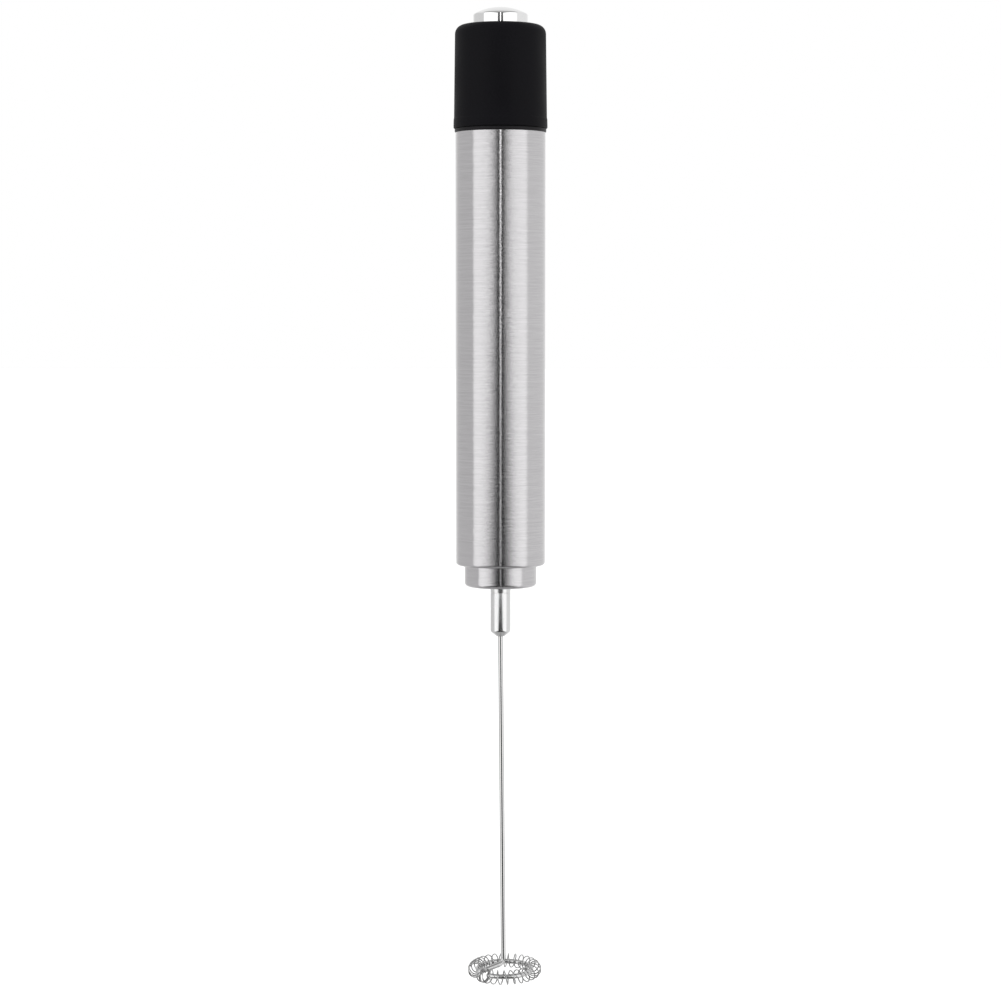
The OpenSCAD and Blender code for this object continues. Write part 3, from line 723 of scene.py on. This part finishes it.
def camera():
    data = bpy.data.cameras.new("camera")
    data.lens = CAMERA_LENS
    data.sensor_width = CAMERA_SENSOR
    data.clip_start = CAMERA_NEAR
    data.clip_end = CAMERA_FAR
    lens = bpy.data.objects.new("camera", data)
    lens.location = (0, -CAMERA_BACK, CAMERA_UP)
    lens.rotation_euler = (math.radians(90 - CAMERA_DOWN_TILT), 0, 0)
    bpy.context.scene.collection.objects.link(lens)
    bpy.context.scene.camera = lens


def floor():
    mesh = bpy.data.meshes.new("floor")
    signs = ((-1, -1), (1, -1), (1, 1), (-1, 1))
    mesh.from_pydata([(x * FLOOR_REACH, y * FLOOR_REACH, FLOOR_Z) for x, y in signs], [], [(0, 1, 2, 3)])
    plane = bpy.data.objects.new("floor", mesh)
    bpy.context.scene.collection.objects.link(plane)
    paper = Surface("paper", 0.9, Specular_IOR_Level=0.1)
    paper.tint(paper.noise(3), (NOISE_LOW, 0.9), (NOISE_HIGH, 0.92))
    mesh.materials.append(paper.material)
    plane.visible_glossy = False


# The room as the object sees it. Bearings are in degrees round the object, 0 in front of it and
# positive to its right, and heights are in degrees above the level. A tall soft box stands on each
# side. The dark gap between them is narrowest at GAP_HEIGHT and widens by GAP_SPREAD for each degree
# above and below, until the overhead light and the ground close it. A thin strip of light, brighter
# higher up, stands in its middle. A blur is the half width of a soft edge.
WALL_LEFT = 0.66
WALL_RIGHT = 0.82
WALL_BLUR = 30
WALL_BACK = 0.88
BACK_FROM = 150
BACK_BLUR = 12
SOFT_BOX = 1.25
LEFT_BOX_END = -74.5
LEFT_BOX_BLUR = 3
RIGHT_BOX_END = 73
RIGHT_BOX_BLUR = 6
GAP = 5
GAP_BLUR = 2
GAP_HEIGHT = 6.5
GAP_SPREAD = 1.3
GAP_SHADE = 0.0
STRIP = 0.1                     # bearing of its middle
STRIP_WIDTH = 1.6               # to each side of that
STRIP_BLUR = 0.5
STRIP_END = (20, 30)            # heights over which the strip fades out
STRIP_LOW = 0.2
STRIP_HIGH = 3.4
STRIP_RISE = (-4, 10)           # heights over which it gets brighter
OVERHEAD = 0.82
OVERHEAD_RISE = (28, 40)
CEILING = 0.35
CEILING_RISE = (45, 60)
GROUND = 0.45
GROUND_FALL = (-40, -55)


def side_light(net, bearing, height):
    """The walls and the two soft boxes, with the dark gap between the boxes."""
    turn = net.calc("ABSOLUTE", bearing)
    wall = net.step(bearing, -WALL_BLUR, WALL_BLUR, WALL_LEFT, WALL_RIGHT)
    wall = net.mix(net.step(turn, BACK_FROM - BACK_BLUR, BACK_FROM + BACK_BLUR), wall, WALL_BACK)
    left = net.step(bearing, LEFT_BOX_END - LEFT_BOX_BLUR, LEFT_BOX_END + LEFT_BOX_BLUR)
    right = net.step(bearing, RIGHT_BOX_END + RIGHT_BOX_BLUR, RIGHT_BOX_END - RIGHT_BOX_BLUR)
    side = net.mix(net.calc("MULTIPLY", left, right), wall, SOFT_BOX)
    away = net.calc("ABSOLUTE", net.calc("SUBTRACT", height, GAP_HEIGHT))
    edge = net.calc("MULTIPLY_ADD", away, GAP_SPREAD, GAP)
    lit = net.step(net.calc("SUBTRACT", turn, edge), -GAP_BLUR, GAP_BLUR)
    return net.mix(lit, GAP_SHADE, side)


def above_and_below(net, height, seen):
    """The overhead light, the ceiling behind it and the ground, over what is seen between them."""
    seen = net.mix(net.step(height, *OVERHEAD_RISE), seen, OVERHEAD)
    seen = net.mix(net.step(height, *CEILING_RISE), seen, CEILING)
    return net.mix(net.step(height, *GROUND_FALL), seen, GROUND)


def strip_light(net, bearing, height, seen):
    """The bright strip in the middle of the gap, over what is seen there."""
    off = net.calc("ABSOLUTE", net.calc("SUBTRACT", bearing, STRIP))
    strip = net.step(off, STRIP_WIDTH + STRIP_BLUR, STRIP_WIDTH - STRIP_BLUR)
    strip = net.calc("MULTIPLY", strip, net.step(height, *reversed(STRIP_END)))
    return net.mix(strip, seen, net.step(height, *STRIP_RISE, STRIP_LOW, STRIP_HIGH))


def room():
    """Lights the object by direction. The camera itself sees plain white."""
    world = bpy.data.worlds.new("room")
    bpy.context.scene.world = world
    world.use_nodes = True
    world.node_tree.nodes.clear()
    net = Nodes(world.node_tree)
    split = net.add("ShaderNodeSeparateXYZ")
    net.join(net.add("ShaderNodeTexCoord").outputs["Generated"], split.inputs["Vector"])
    x, y, z = split.outputs
    bearing = net.calc("DEGREES", net.calc("ARCTAN2", x, net.calc("MULTIPLY", y, -1)))
    height = net.calc("DEGREES", net.calc("ARCSINE", z))
    seen = side_light(net, bearing, height)
    seen = above_and_below(net, height, seen)
    seen = strip_light(net, bearing, height, seen)

    path = net.add("ShaderNodeLightPath")
    background = net.add("ShaderNodeBackground")
    background.inputs["Color"].default_value = (1, 1, 1, 1)
    net.join(net.mix(path.outputs["Is Camera Ray"], seen, 1.0), background.inputs["Strength"])
    net.join(background.outputs["Background"], net.add("ShaderNodeOutputWorld").inputs["Surface"])


def top_light():
    data = bpy.data.lights.new("top_light", "SUN")
    data.energy = SUN_POWER
    data.angle = math.radians(SUN_SPREAD)
    sun = bpy.data.objects.new("top_light", data)
    sun.rotation_euler = (math.radians(SUN_LEAN[0]), math.radians(SUN_LEAN[1]), 0)
    sun.visible_glossy = False
    bpy.context.scene.collection.objects.link(sun)


def studio():
    bpy.context.scene.view_settings.view_transform = "Standard"
    camera()
    floor()
    room()
    top_light()


studio()
dress_cad_nodes()
handle_tube()
nose_collar()
seal_ring()
o_ring()
cell("lower_cell")
cell("upper_cell")
battery_cap()
push_button()
springs()
chuck()
whisk_wire()
whisk_coil()
